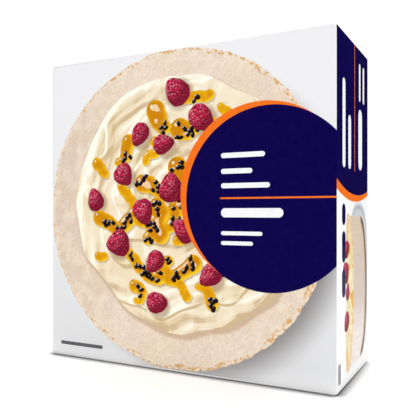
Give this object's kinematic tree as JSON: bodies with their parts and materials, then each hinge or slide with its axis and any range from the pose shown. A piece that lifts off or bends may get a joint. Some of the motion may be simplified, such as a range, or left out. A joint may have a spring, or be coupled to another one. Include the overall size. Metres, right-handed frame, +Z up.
{
  "type": "pavlova carton",
  "caption": "Shut square cake carton of printed boxboard, standing on one end, with rounded folds, overlapping end flaps and a glued back seam.",
  "frame": {"origin": "centre of the end face that the carton stands on", "axes": "+Z up, -Y out of the large picture panel, +X out of the narrow panel at the picture's right"},
  "size_m": [0.26, 0.102, 0.26],
  "materials": {
    "printed_boxboard": "coated folding boxboard with flat printed fields of colour under a satin varnish"
  },
  "bodies": {
    "root": {"carton": "printed_boxboard"}
  },
  "joints": []
}
